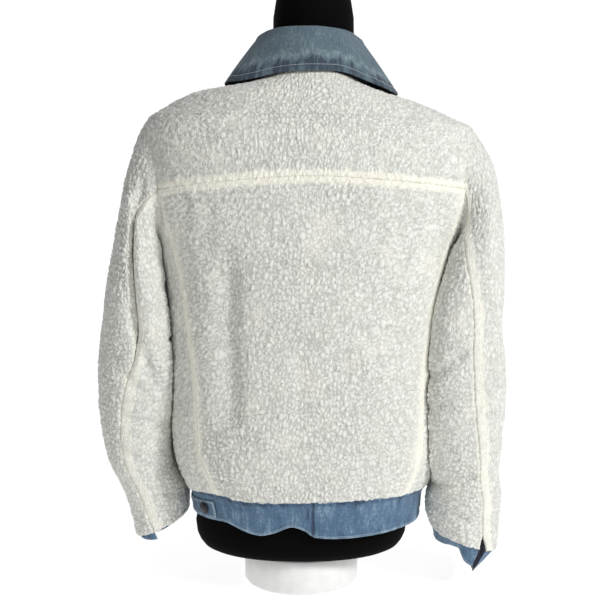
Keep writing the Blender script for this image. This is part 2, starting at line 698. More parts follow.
def edgeDistances(points):
    across = np.linalg.norm(np.diff(points, axis=1), axis=-1)
    upward = np.linalg.norm(np.diff(points, axis=0), axis=-1)
    left = np.pad(np.cumsum(across, axis=1), ((0, 0), (1, 0)))
    bottom = np.pad(np.cumsum(upward, axis=0), ((1, 0), (0, 0)))
    return {
        "left": left, "right": left[:, -1:] - left,
        "bottom": bottom, "top": bottom[-1:] - bottom,
    }


def rimFaces(rows, columns, step, start):
    # joins the border of a fine grid to a coarse one behind it, which begins at start
    fine = np.arange(rows * columns).reshape(rows, columns)
    high, wide = (rows - 1) // step + 1, (columns - 1) // step + 1
    coarse = start + np.arange(high * wide).reshape(high, wide)
    faces = []
    for outer, inner, backwards in (
        (fine[0], coarse[0], True), (fine[-1], coarse[-1], False),
        (fine[:, 0], coarse[:, 0], False), (fine[:, -1], coarse[:, -1], True),
    ):
        for i in range(len(inner) - 1):
            face = [*outer[i * step : (i + 1) * step + 1], inner[i + 1], inner[i]]
            faces.append(face[::-1] if backwards else face)
    return faces


def tubeFaces(rings, sides):
    # joins rings of the same number of points, one after another
    first = np.arange(sides)
    after = np.roll(first, -1)
    return np.concatenate([
        stacked(i * sides + first, i * sides + after, (i + 1) * sides + after, (i + 1) * sides + first)
        for i in range(rings - 1)
    ])


def areaOf(points):
    a, b = points[1:, 1:] - points[:-1, :-1], points[1:, :-1] - points[:-1, 1:]
    return float(np.linalg.norm(np.cross(a, b), axis=-1).sum() / 2)


def cutOf(points):
    # the width, length and area that a panel is cut to
    distances = edgeDistances(points)
    width = round(float(distances["left"][:, -1].max()), 4)
    length = round(float(distances["bottom"][-1].max()), 4)
    area = min(areaOf(points), width * length * 0.998)
    return (width, length), round(area, 6)


class Link:
    # one output of a shader node, which can take part in sums
    def __init__(self, look, socket):
        self.look, self.socket = look, socket

    def __add__(self, other):
        return self.look.math("ADD", self, other)

    def __sub__(self, other):
        return self.look.math("SUBTRACT", self, other)

    def __rsub__(self, other):
        return self.look.math("SUBTRACT", other, self)

    def __mul__(self, other):
        return self.look.math("MULTIPLY", self, other)

    __radd__, __rmul__ = __add__, __mul__


class Look:
    # one material and the nodes that drive it
    def __init__(self, name, slot, **constants):
        self.material = bpy.data.materials.new(name)
        self.material.use_nodes = True
        self.slot = slot
        self.tree = self.material.node_tree
        self.shader = self.tree.nodes["Principled BSDF"]
        for socket, value in constants.items():
            name = socket.replace("_", " ").title().replace("Ior", "IOR")
            self.shader.inputs[name].default_value = value

    def feed(self, socket, value):
        if isinstance(value, Link):
            self.tree.links.new(value.socket, socket)
        else:
            socket.default_value = value

    def add(self, kind, settings, sockets, output=0):
        made = self.tree.nodes.new("ShaderNode" + kind)
        for name, value in settings.items():
            setattr(made, name, value)
        for name, value in sockets.items():
            self.feed(made.inputs[name], value)
        return Link(self, made.outputs[output])

    def math(self, operation, *values):
        return self.add("Math", {"operation": operation}, dict(enumerate(values)))

    def vector(self, operation, *values, output=0):
        return self.add("VectorMath", {"operation": operation}, dict(enumerate(values)), output)

    def place(self):
        return self.add("TexCoord", {}, {}, "Object")

    def attribute(self, name, output="Fac"):
        return self.add("Attribute", {"attribute_name": name}, {}, output)

    def mixed(self, share, first, second):
        return self.add("Mix", {"data_type": "RGBA"}, {0: share, 6: first, 7: second}, 2)

    def noise(self, vector, scale, detail=2.0, rough=0.5, output=0):
        sockets = {"Vector": vector, "Scale": scale, "Detail": detail, "Roughness": rough}
        return self.add("TexNoise", {}, sockets, output)

    def ramp(self, value, low, high, lowTo=0.0, highTo=1.0):
        sockets = {"Value": value, "From Min": low, "From Max": high, "To Min": lowTo, "To Max": highTo}
        return self.add("MapRange", {"interpolation_type": "SMOOTHSTEP"}, sockets)

    def paint(self, socket, value):
        self.feed(self.shader.inputs[socket], value)

    def bumped(self, height, distance, strength):
        sockets = {"Height": height, "Distance": distance, "Strength": strength}
        self.paint("Normal", self.add("Bump", {}, sockets))


def colour(red, green, blue):
    # a screen colour as the linear colour that shaders take
    def linear(value):
        return value / 12.92 if value <= 0.04045 else ((value + 0.055) / 1.055) ** 2.4

    return (*(linear(value / 255) for value in (red, green, blue)), 1.0)


def fleeceLook():
    values = {
        "tip": colour(243, 244, 238), "gap": colour(194, 194, 186),
        "cream": colour(255, 254, 242), "creamGap": colour(248, 244, 228),
        # cells to the metre, how far they wander, how tall they are, share of the depth
        "curl": 330.0, "wander": 160.0, "wanderBy": 0.006, "stretch": (1.0, 1.0, 0.62),
        "curlEdge": 0.35, "pileShare": 0.80, "curlShare": 0.20, "full": 0.85,
        "cloud": 28.0, "cloudy": (0.52, 0.72, 0.0, 0.30),
        "fuzz": 1500.0, "fuzzShare": 0.35, "depth": 0.0009, "strength": 0.6,
    }
    look = Look("sherpa_fleece", "sherpa", roughness=0.95, sheen_weight=0.35, sheen_roughness=0.5)
    place = look.place()
    cloud = look.noise(place, values["cloud"], 3.0)
    wander = look.noise(place, values["wander"], output="Color")
    bent = look.vector("MULTIPLY_ADD", wander, (values["wanderBy"],) * 3, place)
    bent = look.vector("MULTIPLY", bent, values["stretch"])
    sockets = {"Vector": bent, "Scale": values["curl"]}
    curl = look.add("TexVoronoi", {"feature": "DISTANCE_TO_EDGE"}, sockets, "Distance")
    curl = look.ramp(curl, 0.0, values["curlEdge"])
    fuzz = look.noise(place, values["fuzz"], 2.0, 0.6)
    height = look.attribute("pile") * values["pileShare"] + curl * values["curlShare"]
    depth = look.ramp(height, 0.0, values["full"])
    white = look.mixed(depth, values["gap"], values["tip"])
    warm = look.mixed(depth, values["creamGap"], values["cream"])
    share = look.attribute("wear") + look.ramp(cloud, *values["cloudy"])
    look.paint("Base Color", look.mixed(share, white, warm))
    look.bumped(curl + fuzz * values["fuzzShare"], values["depth"], values["strength"])
    return look


def denimLook(name, base, pale, deep, streaks):
    # streaks says how many to the metre along and across the cloth
    values = {
        "twill": 7000.0, "slope": (1.0, 0.9, 0.0), "twillDepth": 0.00012, "twillPale": 0.12,
        "mottle": 260.0, "blotch": 40.0, "streaky": (0.35, 0.68, -0.13, 0.15),
        "blotchy": (0.35, 0.7, -0.12, 0.12), "mottled": (0.3, 0.7, -0.20, 0.20),
    }
    look = Look(name, "denim", roughness=0.85, sheen_weight=0.12, sheen_roughness=0.6)
    cloth = look.attribute("cloth", "Vector")
    twill = look.vector("DOT_PRODUCT", cloth, values["slope"], output=1)
    twill = look.math("SINE", twill * values["twill"])
    streak = look.noise(look.vector("MULTIPLY", cloth, (*streaks, 60.0)), 1.0, 3.0)
    mottle = look.noise(cloth, values["mottle"], 3.0, 0.7)
    blotch = look.noise(cloth, values["blotch"], 3.0)
    shade = look.attribute("wear") + look.ramp(streak, *values["streaky"])
    shade = shade + look.ramp(blotch, *values["blotchy"]) + look.ramp(mottle, *values["mottled"])
    mixed = look.mixed(look.ramp(shade, -0.5, 0.0), deep, base)
    mixed = look.mixed(look.ramp(shade, 0.0, 1.0), mixed, pale)
    thread = look.ramp(twill, -1.0, 1.0, 0.0, values["twillPale"])
    look.paint("Base Color", look.mixed(thread, mixed, pale))
    look.bumped(twill, values["twillDepth"], 0.5)
    return look


def plainLook(name, slot, tint, rough, grain, depth, **constants):
    # one tint with a fine grain: its count to the metre and its depth
    look = Look(name, slot, roughness=rough, **constants)
    fine = look.noise(look.place(), grain)
    darker = (*(value * 0.8 for value in tint[:3]), 1.0)
    look.paint("Base Color", look.mixed(fine, darker, tint))
    look.bumped(fine, depth, 0.5)
    return look


fleece = fleeceLook()
# base, pale, deep
bandDenim = denimLook(
    "washed_denim", colour(70, 102, 132), colour(146, 173, 192), colour(34, 55, 84), (330.0, 60.0),
)
collarDenim = denimLook(
    "faded_denim", colour(80, 101, 114), colour(150, 167, 172), colour(36, 52, 70), (420.0, 70.0),
)
denimInside = denimLook(
    "dark_denim_back", colour(26, 30, 46), colour(58, 66, 86), colour(14, 16, 28), (300.0, 300.0),
)
paleThread = plainLook("pale_thread", "denim", colour(206, 214, 220), 0.8, 900.0, 0.0001)
metal = plainLook("gunmetal", "button", colour(62, 62, 66), 0.34, 400.0, 0.00004, metallic=1.0)
jersey = plainLook(
    "black_jersey", "form", colour(5, 5, 6), 0.9, 1400.0, 0.0001, specular_ior_level=0.08,
)
board = plainLook("white_board", "riser", colour(252, 252, 250), 0.6, 60.0, 0.00003)
print("materials made")


def nubs(points, seed=0):
    # 1 in the middle of each tuft of the pile and 0 between the tufts
    spot = points / np.array(fleeceCut["nub"])
    for size, by in fleeceCut["warps"]:
        spot = spot + stacked(*(drift(points, size, seed + i) for i in (1, 2, 3))) * by
    spot = spot.astype(np.float32)
    cell = np.floor(spot).astype(np.int64)
    nearest = np.full(points.shape[:-1], 9.0, np.float32)
    second = nearest.copy()
    strength = np.zeros(points.shape[:-1], np.float32)
    start, reach = fleeceCut["scatter"]
    for step in itertools.product((-1, 0, 1), repeat=3):
        other = cell + np.array(step)
        chance = randomOf(other, seed).astype(np.float32)
        distance = np.linalg.norm(other + start + reach * chance[..., :3] - spot, axis=-1)
        closer = distance < nearest
        second = np.where(closer, nearest, np.minimum(second, distance))
        strength = np.where(closer, chance[..., 3], strength)
        nearest = np.where(closer, distance, nearest)
    edge = np.clip((second - nearest) * fleeceCut["sharpness"], 0, 1)
    weakest = fleeceCut["weakest"]
    return np.sqrt(edge) * (weakest + (1 - weakest) * strength)


def roundedBy(bend, distance):
    # how far a face falls back beside an edge that is rounded off
    over = np.clip(1 - distance / bend, 0, 1)
    return bend * (1 - np.sqrt(1 - over**2))


# what an edge does to the fleece beside it: soft humps (amount, distance from the edge, width)
# that sink it, bare it of pile or make it creamy, and perhaps a flat strip of set amounts
edgeCut = {
    "sewn": {
        "sink": ((0.0006, 0, 0.0008), (-0.0004, 0.0016, 0.0016)),
        "bare": ((0.90, 0, 0.0055),),
        "cream": ((0.75, 0, 0.0042), (0.35, 0, 0.0140)),
    },
    "covered": {
        "sink": ((0.0009, 0, 0.0030),), "bare": ((0.30, 0, 0.0030),), "cream": ((0.25, 0, 0.0030),),
    },
    "fluffy": {
        "sink": ((0.0016, 0, 0.0022),), "bare": ((0.25, 0, 0.0045),), "cream": ((0.35, 0, 0.0045),),
    },
    "turned": {"bend": 0.0026, "bare": ((0.45, 0, 0.0030),)},
    "lapped": {
        "sink": ((0.0010, 0, 0.0014), (0.0008, 0.0090, 0.0014)),
        "strip": {"ends": (0.0072, 0.0104), "sink": -0.0007, "bare": 0.10, "cream": 0.95},
    },
    "brushed": {
        "sink": ((0.0012, 0, 0.0012),),
        "strip": {"ends": (0.0120, 0.0165), "sink": 0.0002, "bare": 0.80, "cream": 0.60},
    },
}


def besideEdge(style, distance):
    # (how deep the cloth is drawn in, how bare it is, how creamy it is)
    cut = edgeCut[style]
    strip = cut.get("strip", {"ends": (0, 1)})
    flat = 1 - smoothStep(*strip["ends"], distance)
    amounts = [
        strip.get(what, 0) * flat + sum(by * hump(distance, *where) for by, *where in cut.get(what, ()))
        for what in ("sink", "bare", "cream")
    ]
    if "bend" in cut:
        amounts[0] = amounts[0] + roundedBy(cut["bend"], distance)
    return amounts


def dressed(made, node):
    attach(made, "root")
    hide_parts(node)
    return made


stitchCut = {
    "length": 0.0024, "gap": 0.0010, "radius": 0.00032, "sides": 6, "start": 0.15,
    "sunk": -0.25, "arch": 0.9,
    # share of the length, share of the radius
    "profile": ((0.0, 0.35), (0.12, 0.9), (0.5, 1.0), (0.88, 0.9), (1.0, 0.35)),
}


def stitchRow(name, line, outward, look):
    # short capsules of thread laid along a line of points
    run = np.concatenate([[0], np.cumsum(np.linalg.norm(np.diff(line, axis=0), axis=-1))])
    count = int(run[-1] / (stitchCut["length"] + stitchCut["gap"]))
    starts = (np.arange(count) + stitchCut["start"]) * run[-1] / count

    def read(values, where):
        return stacked(*(np.interp(where, run, column) for column in values.T))

    first, last = read(line, starts), read(line, starts + stitchCut["length"])
    up = unitOf(read(outward, starts + stitchCut["length"] / 2))
    aside = np.cross(unitOf(last - first), up)
    radius, sides = stitchCut["radius"], stitchCut["sides"]
    rings = []
    for share, thick in stitchCut["profile"]:
        lift = radius * (stitchCut["sunk"] + stitchCut["arch"] * math.sin(math.pi * share))
        centre = first + (last - first) * share + up * lift
        for turn in np.linspace(0, 2 * np.pi, sides, endpoint=False):
            rings.append(centre + (aside * math.cos(turn) + up * math.sin(turn)) * radius * thick)
    verts = np.stack(rings, axis=1)
    size = verts.shape[1]
    quads = tubeFaces(len(stitchCut["profile"]), sides)
    quads = (quads[None] + np.arange(count)[:, None, None] * size).reshape(-1, 4)
    ring = np.arange(sides)
    ends = [tuple(i * size + end) for i in range(count) for end in (ring[::-1], size - sides + ring)]
    made = placed(name, makeMesh(name, verts.reshape(-1, 3), quads, ends), look.material)
    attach(made, "root")
    return made


def rowAt(points, outward, where, distance):
    # the line that runs along one edge of a grid, some way in from it
    d = edgeDistances(points)[where]
    if where in ("left", "right"):
        points, outward, d = (np.swapaxes(values, 0, 1) for values in (points, outward, d))
    lines = []
    for i in range(points.shape[1]):
        order = np.argsort(d[:, i])
        columns = [values[order, i, j] for values in (points, outward) for j in range(3)]
        lines.append([np.interp(distance, d[order, i], column) for column in columns])
    lines = np.array(lines)
    return lines[:, :3], lines[:, 3:]


def fleecePanel(node, points, outward, **edges):
    # a closed wall whose outer face carries the pile; each edge has its own style
    distances = edgeDistances(points)
    sink, wear, pile = 0, 0, 1
    ragged, raggedSize = fleeceCut["ragged"]
    for where, style in edges.items():
        distance = distances[where] * (1 + ragged * drift(points, raggedSize, 9))
        deeper, bare, creamier = besideEdge(style, distance)
        sink, pile, wear = sink + deeper, pile * (1 - bare), np.maximum(wear, creamier)
    for x, z, across, upward, share in fleeceCut["brushed"]:
        away = np.hypot((points[..., 0] - x) / across, (points[..., 2] - z) / upward)
        pile = pile * (1 - share * smoothStep(*fleeceCut["brushedEdge"], away) * (points[..., 1] < 0))
    tufts = nubs(points)
    lull, lullSize = fleeceCut["lull"]
    hollow = fleeceCut["pile"] * (1 - lull * drift(points, lullSize, 7)) * (1 - tufts)
    relief = (fleeceCut["tip"] - hollow) * pile - sink
    step = fleeceCut["innerStep"]
    rows, columns = points.shape[:2]
    inner = (points - outward * (fleeceCut["thick"] - fleeceCut["spare"]))[::step, ::step]
    outer = points + outward * relief[..., None]
    if edges["bottom"] == "turned":
        furthest, reach, size = fleeceCut["overhang"]
        hang = furthest * (1 + drift(points[:1], size, 17)) / 2 * hump(distances["bottom"], 0, reach)
        outer = outer + unitOf(points[:1] - points[2:3]) * hang[..., None]
    count = rows * columns
    verts = np.concatenate([outer.reshape(-1, 3), inner.reshape(-1, 3)])
    quads = np.concatenate([gridFaces(rows, columns), gridFaces(*inner.shape[:2], count, True)])
    mesh = makeMesh(node + "_fleece", verts, quads, rimFaces(rows, columns, step, count))
    lining = np.ones(len(verts) - count)
    addValues(mesh, "pile", np.concatenate([tufts.ravel(), lining * fleeceCut["liningPile"]]))
    addValues(mesh, "wear", np.concatenate([wear.ravel(), lining * 0]))
    made = dressed(placed(node + "_fleece", mesh, fleece.material), node)
    flat, area = cutOf(points)


def bodyPanel(node, grid, **edges):
    points = bodyPoint(grid[..., 0], grid[..., 1])
    fleecePanel(node, points, bodyOut(grid[..., 0], grid[..., 1]), **edges)


# each count is a multiple of the fleece's inner step
panelCut = {
    "backColumns": 200, "backRows": 288, "yokeColumns": 280, "yokeStep": 1.5, "yokeShoulder": 50,
    "sideColumns": 36, "sideRows": 208, "frontColumns": 116, "frontSide": 100, "frontStep": 2.0,
    "frontShoulder": 42,
}

# the back
neck = bodyCut["neck"]
backSeams = [princessLine(side, panelCut["backRows"]) for side in (-1, 1)]
hemSeam = hemLine(backSeams[0][0, 0], backSeams[1][0, 0], panelCut["backColumns"])
backGrid = filled(hemSeam, yokeLine(panelCut["backColumns"]), *backSeams)
bodyPanel("back_panel", backGrid, left="sewn", right="sewn", bottom="turned", top="lapped")

yokeTurns = np.arange(90.0, -0.1, -panelCut["yokeStep"])
yokeEdges = [
    joined(armholeLine(side, yokeTurns), shoulderLine(side, panelCut["yokeShoulder"]))
    for side in (-1, 1)
]
neckSeam = straightLine((-90.0, neck), (90.0, neck), panelCut["yokeColumns"])
yokeGrid = filled(yokeLine(panelCut["yokeColumns"]), neckSeam, *yokeEdges)
bodyPanel("back_yoke", yokeGrid, left="covered", right="covered", bottom="lapped", top="sewn")

for side, word in hands.items():
    seam, sideSeam = princessLine(side, panelCut["sideRows"]), sideLine(side, panelCut["sideRows"])
    hemSeam = hemLine(seam[0, 0], side * 90.0, panelCut["sideColumns"])
    top = armholeLine(side, np.linspace(90, 180, panelCut["sideColumns"] + 1))
    grid = filled(hemSeam, top, seam, sideSeam)[:, ::side]
    bodyPanel(f"back_side_{word}", grid, left="sewn", right="sewn", bottom="turned", top="sewn")

    # the front, whose outer edge is the side seam, the armhole and the shoulder
    outerEdge = joined(
        sideLine(side, panelCut["frontSide"]),
        armholeLine(side, np.arange(180, 360.1, panelCut["frontStep"])),
        shoulderLine(side, panelCut["frontShoulder"]),
    )
    middle, columns = side * 180.0, panelCut["frontColumns"]
    foot = float(bodyCut["hem"].at("level", middle))
    centre = straightLine((middle, foot), (middle, neck), len(outerEdge) - 1)
    hemSeam = hemLine(side * 90.0, middle, columns)
    neckSeam = straightLine((side * 90.0, neck), (middle, neck), columns)
    grid = filled(hemSeam, neckSeam, outerEdge, centre)[:, ::side]
    bodyPanel(f"front_{word}", grid, left="sewn", right="sewn", bottom="turned", top="sewn")
print("body panels made")


sleeveMesh = {"rows": 320, "under": 88, "upper": 148, "settle": 0.012}

for side, word in hands.items():
    along = np.linspace(0, 1, sleeveMesh["rows"] + 1)
    seam = sleeveCut["seams"].at(word, along)[:, None]
    apart = cuffCut[word]["opening"] / 2 * smoothStep(*sleeveCut["seamOpens"], along)[:, None]
    start, end = seam + apart, seam + 360.0 - apart
    middle, under = sleeveCut["underSeam"], sleeveMesh["under"]
    underShare = np.linspace(0, 1, under + 1)
    upperShare = np.linspace(0, 1, sleeveMesh["upper"] + 1)[1:]
    turn = np.concatenate([
        start * (1 - underShare) + middle * underShare,
        middle * (1 - upperShare) + end * upperShare,
    ], axis=1)
    points = sleevePoint(side, turn, np.broadcast_to(along[:, None], turn.shape))
    seam = armholeLine(side, turn[0])
    hole = bodyOut(seam[:, 0], seam[:, 1])
    settled = smoothStep(0.0, sleeveMesh["settle"], edgeDistances(points)["bottom"])[..., None]
    outward = unitOf(hole * (1 - settled) + outOf(points) * side * settled)
    for part, piece in (("under", np.s_[::-1, : under + 1]), ("upper", np.s_[::-1, under:])):
        style = "fluffy" if (part == "under") == (side > 0) else "brushed"
        back = "right" if (part == "under") == (side > 0) else "left"
        edges = {"left": "sewn", "right": "sewn", "bottom": "turned", "top": "covered", back: style}
        name = f"sleeve_{part}_{word}"
        fleecePanel(name, points[piece][:, ::-side], outward[piece][:, ::-side], **edges)
print("sleeves made")


denimCut = {
    "rounding": 0.45, "innerRelief": 0.5, "edgeFade": 0.0012,
    "pucker": (0.0065, 0.018, 0.00035),  # length, breadth, height
    "threads": 0.0030,  # how far in from its edge a row of thread runs
}


def clustered(count, length, bend=0.001):
    # shares from 0 to 1, closer together at both ends
    share = bend / length
    ends = np.array([0.0, share * 0.3, share])
    return np.concatenate([ends, np.linspace(share, 1 - share, count)[1:-1], 1 - ends[::-1]])


def denimPanel(
    node, points, outward, relief, wear, rows, wall, look=bandDenim, fade=0.9, dark=False, cut=None,
):
    # a closed wall with rounded edges; dark marks the outer faces that show the cloth's back
    distances = edgeDistances(points)
    nearest = np.minimum.reduce(list(distances.values()))
    rounding = roundedBy(wall * denimCut["rounding"], nearest)
    outer = points + outward * (relief - rounding)[..., None]
    inner = points - outward * (wall - rounding - relief * denimCut["innerRelief"])[..., None]
    high, wide = points.shape[:2]
    count, face = high * wide, (high - 1) * (wide - 1)
    border = np.concatenate([
        np.arange(wide), np.arange(1, high) * wide + wide - 1,
        (high - 1) * wide + np.arange(wide - 2, -1, -1), np.arange(high - 2, 0, -1) * wide,
    ])
    after = np.roll(border, -1)
    rim = np.stack([border, border + count, after + count, after], axis=-1)
    quads = np.concatenate([gridFaces(high, wide), gridFaces(high, wide, count, True), rim])
    verts = np.concatenate([outer.reshape(-1, 3), inner.reshape(-1, 3)])
    mesh = makeMesh(node + "_denim", verts, quads)
    cloth = stacked(distances["left"][:1], distances["bottom"], 0.0)
    addValues(mesh, "cloth", np.concatenate([cloth.reshape(-1, 3)] * 2), "FLOAT_VECTOR", "vector")
    faded = fade * hump(nearest, 0, denimCut["edgeFade"]) + wear
    addValues(mesh, "wear", np.concatenate([faded.ravel()] * 2))
    backs = np.zeros(len(quads), np.int32)
    backs[:face], backs[face : 2 * face] = dark, 1
    made = placed(node + "_denim", mesh, look.material, denimInside.material)
    mesh.polygons.foreach_set("material_index", backs)
    dressed(made, node)
    for i, (where, distance) in enumerate(rows):
        line, facing = rowAt(outer, outward, where, distance)
        stitchRow(f"{node}_stitches_{i + 1}", line[2:-2], facing[2:-2], paleThread)
    flat, area = cut or cutOf(points)


def ticksOf(along, size, seed):
    # light and dark by turns along an edge
    return drift(stacked(along / size, 0.0, 0.0), 1.0, seed)


def rope(along, across, seed):
    # puckers that run square to a stitched edge
    length, breadth, height = denimCut["pucker"]
    return drift(stacked(along / length, across / breadth, 0.0), 1.0, seed) * height


def ropeWear(pucker, by):
    # pale on the ridges and dark between them
    return pucker / denimCut["pucker"][2] * by


bandMesh = {
    "step": 0.45, "rows": 24, "depth": 0.048, "perDegree": 0.003,
    "drawnEdge": (-0.2, 0.1), "drawnWear": 420,
    # the stitched edges, where the puckers are strongest: distance, reach
    "low": (0.006, 0.010), "high": (0.004, 0.010),
    "ripple": (0.0007, 0.030), "base": 0.15, "pucker": 0.25,
    # the shadowed strip under the fleece
    "under": (0.0085, 0.0035), "underWear": 0.40, "tick": (0.0026, 0.30), "thread": 0.0035,
}


def bandPanel(name, start, end, seed, rows, low=0.0, high=1.0, lift=0.0):
    cut = bandMesh
    around = clustered(round((end - start) / cut["step"]), abs(end - start) * cut["perDegree"])
    shares = low + (high - low) * clustered(cut["rows"], cut["depth"] * (high - low))
    angle, share = np.meshgrid(start + (end - start) * around, shares)
    points = bandPoint(angle, share, np.full(angle.shape, lift))
    d = edgeDistances(points)
    pucker = rope(d["left"], d["bottom"], seed)
    strength = 0.5 + hump(d["bottom"], *cut["low"]) + hump(d["top"], *cut["high"])
    drawn = np.zeros(angle.shape)
    under = 0 * drawn
    if lift == 0:
        for at, lowest, width, depth in bandCut["puckers"]:
            upward = smoothStep(*(lowest + np.array(cut["drawnEdge"])), share)
            drawn = np.maximum(drawn, depth * hump(angle, at, width) * upward)
        under = smoothStep(*cut["under"], d["top"])
    ripple, rippleSize = cut["ripple"]
    relief = pucker * strength + ripple * drift(points, rippleSize, 3) - drawn
    tick, by = cut["tick"]
    shade = under * (cut["underWear"] - by * ticksOf(d["left"], tick, seed + 40))
    wear = ropeWear(pucker, cut["pucker"]) * strength + cut["base"] - drawn * cut["drawnWear"] - shade
    denimPanel(name, points, outOf(points), relief, wear, rows, bandCut["wall"])


for name, start, end, seed in (
    ("waistband_back", -90.0, 90.0, 11), ("waistband_left", -180.0, -90.0, 12),
    ("waistband_right", 90.0, 180.0, 13),
):
    bandPanel(name, start, end, seed, (("bottom", bandMesh["thread"]),))

tabCut = {
    "low": 0.10, "high": 0.68, "buttonShare": 0.42,
    "left": {"from": -90.0, "to": -56.4, "button": -63.4},
    "right": {"from": 90.0, "to": 123.6, "button": 116.6},
}
tabLift = bandCut["wall"] + bandCut["laidOn"]
for side, word in hands.items():
    span = tabCut[word]
    rows = [(where, denimCut["threads"]) for where in ("bottom", "top", "right")]
    shares = tabCut["low"], tabCut["high"]
    bandPanel(f"side_tab_{word}", span["from"], span["to"], 14, rows, *shares, tabLift)

cuffMesh = {
    "columns": 200, "around": 0.36, "rows": 20, "depth": 0.020, "flap": 26, "flapTurn": 30.0,
    "ripple": (0.0005, 0.025), "wear": (500.0, 0.1), "under": (0.004, 0.001), "underWear": 0.35,
    "thread": 0.0035, "fade": 0.3,
}
for side, word in hands.items():
    shape, cut = cuffCut[word], cuffMesh
    start, flapEnd = shape["slit"] + shape["opening"] / 2, shape["slit"] + 360 - shape["opening"] / 2
    drops = clustered(cut["rows"], cut["depth"])
    turns = start + (360 - shape["opening"]) * clustered(cut["columns"], cut["around"])
    cloth = cuffPoint(side, *np.meshgrid(turns, drops))[::-1]
    if shape["underlap"]:
        flap = np.linspace(0, shape["underlap"], cut["flap"])[1:]
        turns = np.concatenate([turns, flapEnd + flap])
    turn, drop = np.meshgrid(turns, drops)
    # the flap's end goes in behind the slit, where it rises and narrows
    behind = smoothStep(flapEnd, flapEnd + cuffCut["underlapBend"], turn)
    slant = cuffCut["underlapSlant"] * np.clip((turn - flapEnd) / cut["flapTurn"], 0, 1)
    drop = drop * (1 + behind) - behind
    points = cuffPoint(side, turn, np.where(drop > 0, drop * (1 - slant), drop))
    points = points - outOf(points) * side * (cuffCut["underlapDepth"] * behind)[..., None]
    points, behind = points[::-1, ::-side], behind[::-1, ::-side]
    d = edgeDistances(points)
    ripple, rippleSize = cut["ripple"]
    relief = rope(d["left"], d["bottom"], 20 + side) + ripple * drift(points, rippleSize, 3)
    by, base = cut["wear"]
    wear = relief * by + base - cut["underWear"] * smoothStep(*cut["under"], d["top"])
    rows = [("bottom", cut["thread"])] if side > 0 else []
    denimPanel(
        f"cuff_{word}", points, outOf(points), relief * (1 - behind), wear * (1 - behind), rows,
        bandCut["wall"], fade=cut["fade"], dark=behind[:-1, :-1].ravel() > 0.1, cut=cutOf(cloth),
    )
print("waistband and cuffs made")


collarMesh = {
    "stand": 14, "fold": 9, "leaf": 30, "leafDepth": 0.07, "columns": 236, "around": 0.7,
    "edge": (0.005, 0.012), "tick": 0.0028, "tongue": (0.0060, 0.005),
    # the dark band along the leaf's edge and the paler line above it
    "band": (0.019, 0.012), "bandWear": 0.42, "paleLine": (0.022, 0.006), "paleWear": 0.28,
    "base": 0.10, "tickWear": (0.06, 0.40), "thread": (0.0004, 0.0012), "pucker": 0.3,
    "endThread": 0.0080, "fade": 0.15,
}
cut, bend, turnIn = collarMesh, collarCut["foldStart"], collarCut["foldEnd"]
leaf = clustered(cut["leaf"], cut["leafDepth"], 0.0008)
shares = [
    np.linspace(0, bend, cut["stand"])[:-1], np.linspace(bend, turnIn, cut["fold"])[:-1],
    turnIn + (1 - turnIn) * leaf,
]
around = collarCut["endAngle"] * (2 * clustered(cut["columns"], cut["around"]) - 1)
points = collarPoint(*np.meshgrid(around, np.concatenate(shares)))[::-1]
outward = outOf(points)
points = points + outward * collarCut["wall"] / 2
d = edgeDistances(points)
run = np.broadcast_to(d["left"][:1], points.shape[:2])
ticks = ticksOf(run, cut["tick"], 33)
size, reach = cut["tongue"]
ragged = d["bottom"] + ticksOf(run, size, 34) * reach
band = smoothStep(*cut["band"], ragged)
faint, strong = cut["tickWear"]
wear = cut["base"] - cut["bandWear"] * band + cut["paleWear"] * hump(ragged, *cut["paleLine"])
wear = wear + ticks * (faint + strong * band)
groove, grooveWidth = cut["thread"]
relief = rope(run, d["bottom"], 31) * (cut["pucker"] + hump(d["bottom"], *cut["edge"]))
relief = relief - groove * hump(d["bottom"], collarCut["stitchIn"], grooveWidth)
rows = [("bottom", collarCut["stitchIn"]), ("left", cut["endThread"]), ("right", cut["endThread"])]
denimPanel("collar", points, outward, relief, wear, rows, collarCut["wall"], collarDenim, cut["fade"])

placketCut = {
    "half": 9.5, "belowNeck": 0.004, "aboveEdge": 0.001, "wall": 0.0022, "rows": 220, "columns": 22,
    "length": 0.6, "width": 0.042, "pucker": 0.6, "wear": (0.2, 0.1), "thread": 0.0050,
}
cut = placketCut
foot = float(bodyCut["hem"].at("bandLow", 180.0)) + cut["aboveEdge"]
levels = foot + (neck - cut["belowNeck"] - foot) * clustered(cut["rows"], cut["length"])
around = 180.0 + cut["half"] * (2 * clustered(cut["columns"], cut["width"]) - 1)
angle, level = np.meshgrid(around, levels)
angle = (angle + 180.0) % 360.0 - 180.0
outward = bodyOut(angle, level)
placketLift = 2 * bandCut["laidOn"] + cut["wall"]
points = bodyPoint(angle, level) + outward * placketLift
d = edgeDistances(points)
pucker = rope(d["bottom"], d["left"], 32)
by, base = cut["wear"]
wear = ropeWear(pucker, by) + base
rows = [(where, cut["thread"]) for where in ("left", "right")]
denimPanel("placket", points, outward, pucker * cut["pucker"], wear, rows, cut["wall"])

